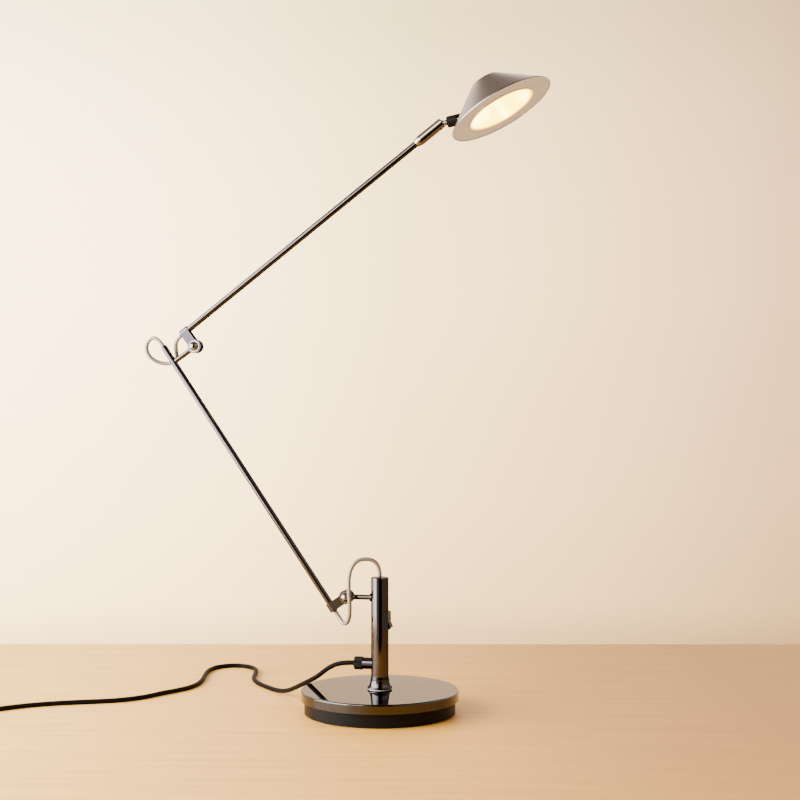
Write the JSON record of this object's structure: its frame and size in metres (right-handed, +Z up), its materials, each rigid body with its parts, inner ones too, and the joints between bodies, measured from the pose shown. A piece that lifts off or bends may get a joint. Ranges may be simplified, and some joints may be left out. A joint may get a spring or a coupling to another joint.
{
  "type": "articulated desk lamp",
  "caption": "Slim desk lamp: weighted round base, short swivelling post, thin tube arms on friction pivots, braided flex loops and a shallow cone LED shade on a ball joint.",
  "frame": {"origin": "centre of the underside of the base, on the axis of the post", "axes": "+Z up, +X towards the side of the head and the switch, +Y away from the viewer of the picture; the arms swing in the XZ plane"},
  "size_m": [0.7676, 0.3709, 0.7223],
  "materials": {
    "black_chrome": "polished",
    "base_gunmetal": "polished",
    "bright_chrome": "polished",
    "black_coat": "satin",
    "cast_weight": "matte",
    "zinc_steel": "satin",
    "felt": "matte",
    "black_plastic": "satin",
    "nylon": "satin",
    "black_rubber": "matte",
    "braided_flex": "satin",
    "mains_sheath": "satin",
    "shade_coat": "satin",
    "ring_coat": "satin",
    "gold_ring": "polished",
    "frosted_lens": "matte",
    "sink_metal": "matte",
    "board": "satin",
    "led": "gloss",
    "pin_metal": "polished"
  },
  "bodies": {
    "base": {"base_cover": "base_gunmetal", "base_tray": "black_coat", "base_weight": "cast_weight", "base_pad": "felt", "base_screws": "zinc_steel", "swivel_washer": "nylon", "swivel_spring": "zinc_steel", "mains_cord_first": "mains_sheath", "mains_cord": "mains_sheath", "mains_coil": "mains_sheath", "plug_body": "black_plastic", "plug_pins": "pin_metal"},
    "post": {"swivel_bolt": "zinc_steel", "post_tube": "black_chrome", "post_foot": "black_chrome", "foot_plug": "zinc_steel", "post_cap": "black_chrome", "cap_bush": "black_rubber", "pivot_stub": "black_chrome", "stub_nut": "zinc_steel", "switch_housing": "black_plastic", "cord_boss": "black_chrome", "gland_nut": "black_plastic", "gland_bush": "black_rubber", "mains_tail": "mains_sheath", "terminal_block": "nylon", "post_flex": "braided_flex", "lower_flex_loop": "braided_flex"},
    "rocker": {"switch_rocker": "black_plastic"},
    "lower_arm": {"lower_tube": "black_chrome", "lower_clevis": "black_chrome", "lower_pivot_bolt": "zinc_steel", "lower_dome_nuts": "bright_chrome", "lower_friction_washers": "nylon", "elbow_stub": "black_chrome", "lower_tube_flex": "braided_flex", "elbow_flex_loop": "braided_flex"},
    "upper_arm": {"upper_tube": "black_chrome", "upper_clevis": "black_chrome", "elbow_bolt": "zinc_steel", "elbow_dome_nuts": "bright_chrome", "elbow_friction_washers": "nylon", "upper_tube_flex": "braided_flex", "head_sleeve": "bright_chrome"},
    "socket": {"socket_cap": "bright_chrome", "ball_seat": "nylon"},
    "head": {"ball_stud": "bright_chrome", "head_collar": "black_coat", "collar_ring": "bright_chrome", "shade_bracket": "black_coat", "bracket_nut": "zinc_steel", "shade": "shade_coat", "top_vent": "black_plastic", "front_ring": "ring_coat", "lens_ring": "gold_ring", "lens": "frosted_lens", "heat_sink": "sink_metal", "led_board": "board", "led_chips": "led", "driver": "black_plastic"}
  },
  "joints": [
    {"name": "post_swivel", "type": "hinge", "parent": "base", "child": "post", "pos_m": [0, 0, 0.0276], "axis": [0, 0, 1], "range_deg": [-165, 165], "deforming": ["mains_cord_first"]},
    {"name": "lower_pivot", "type": "hinge", "parent": "post", "child": "lower_arm", "pos_m": [-0.0389, 0, 0.1308], "axis": [0, -1, 0], "range_deg": [-45, 50], "deforming": ["lower_flex_loop"]},
    {"name": "elbow_pivot", "type": "hinge", "parent": "lower_arm", "child": "upper_arm", "pos_m": [-0.22255, 0, 0.41884], "axis": [0, 1, 0], "range_deg": [-50, 75], "deforming": ["elbow_flex_loop"]},
    {"name": "head_swivel", "type": "hinge", "parent": "upper_arm", "child": "socket", "pos_m": [0.07031, 0, 0.66749], "axis": [0.7965, 0, 0.6046], "range_deg": [-165, 165]},
    {"name": "head_tilt", "type": "hinge", "parent": "socket", "child": "head", "pos_m": [0.07031, 0, 0.66749], "axis": [0.038, 0.998, -0.05], "range_deg": [-40, 60]},
    {"name": "switch_rock", "type": "hinge", "parent": "post", "child": "rocker", "pos_m": [0.0084, 0, 0.105], "axis": [0, 1, 0], "range_deg": [0, 22]}
  ]
}
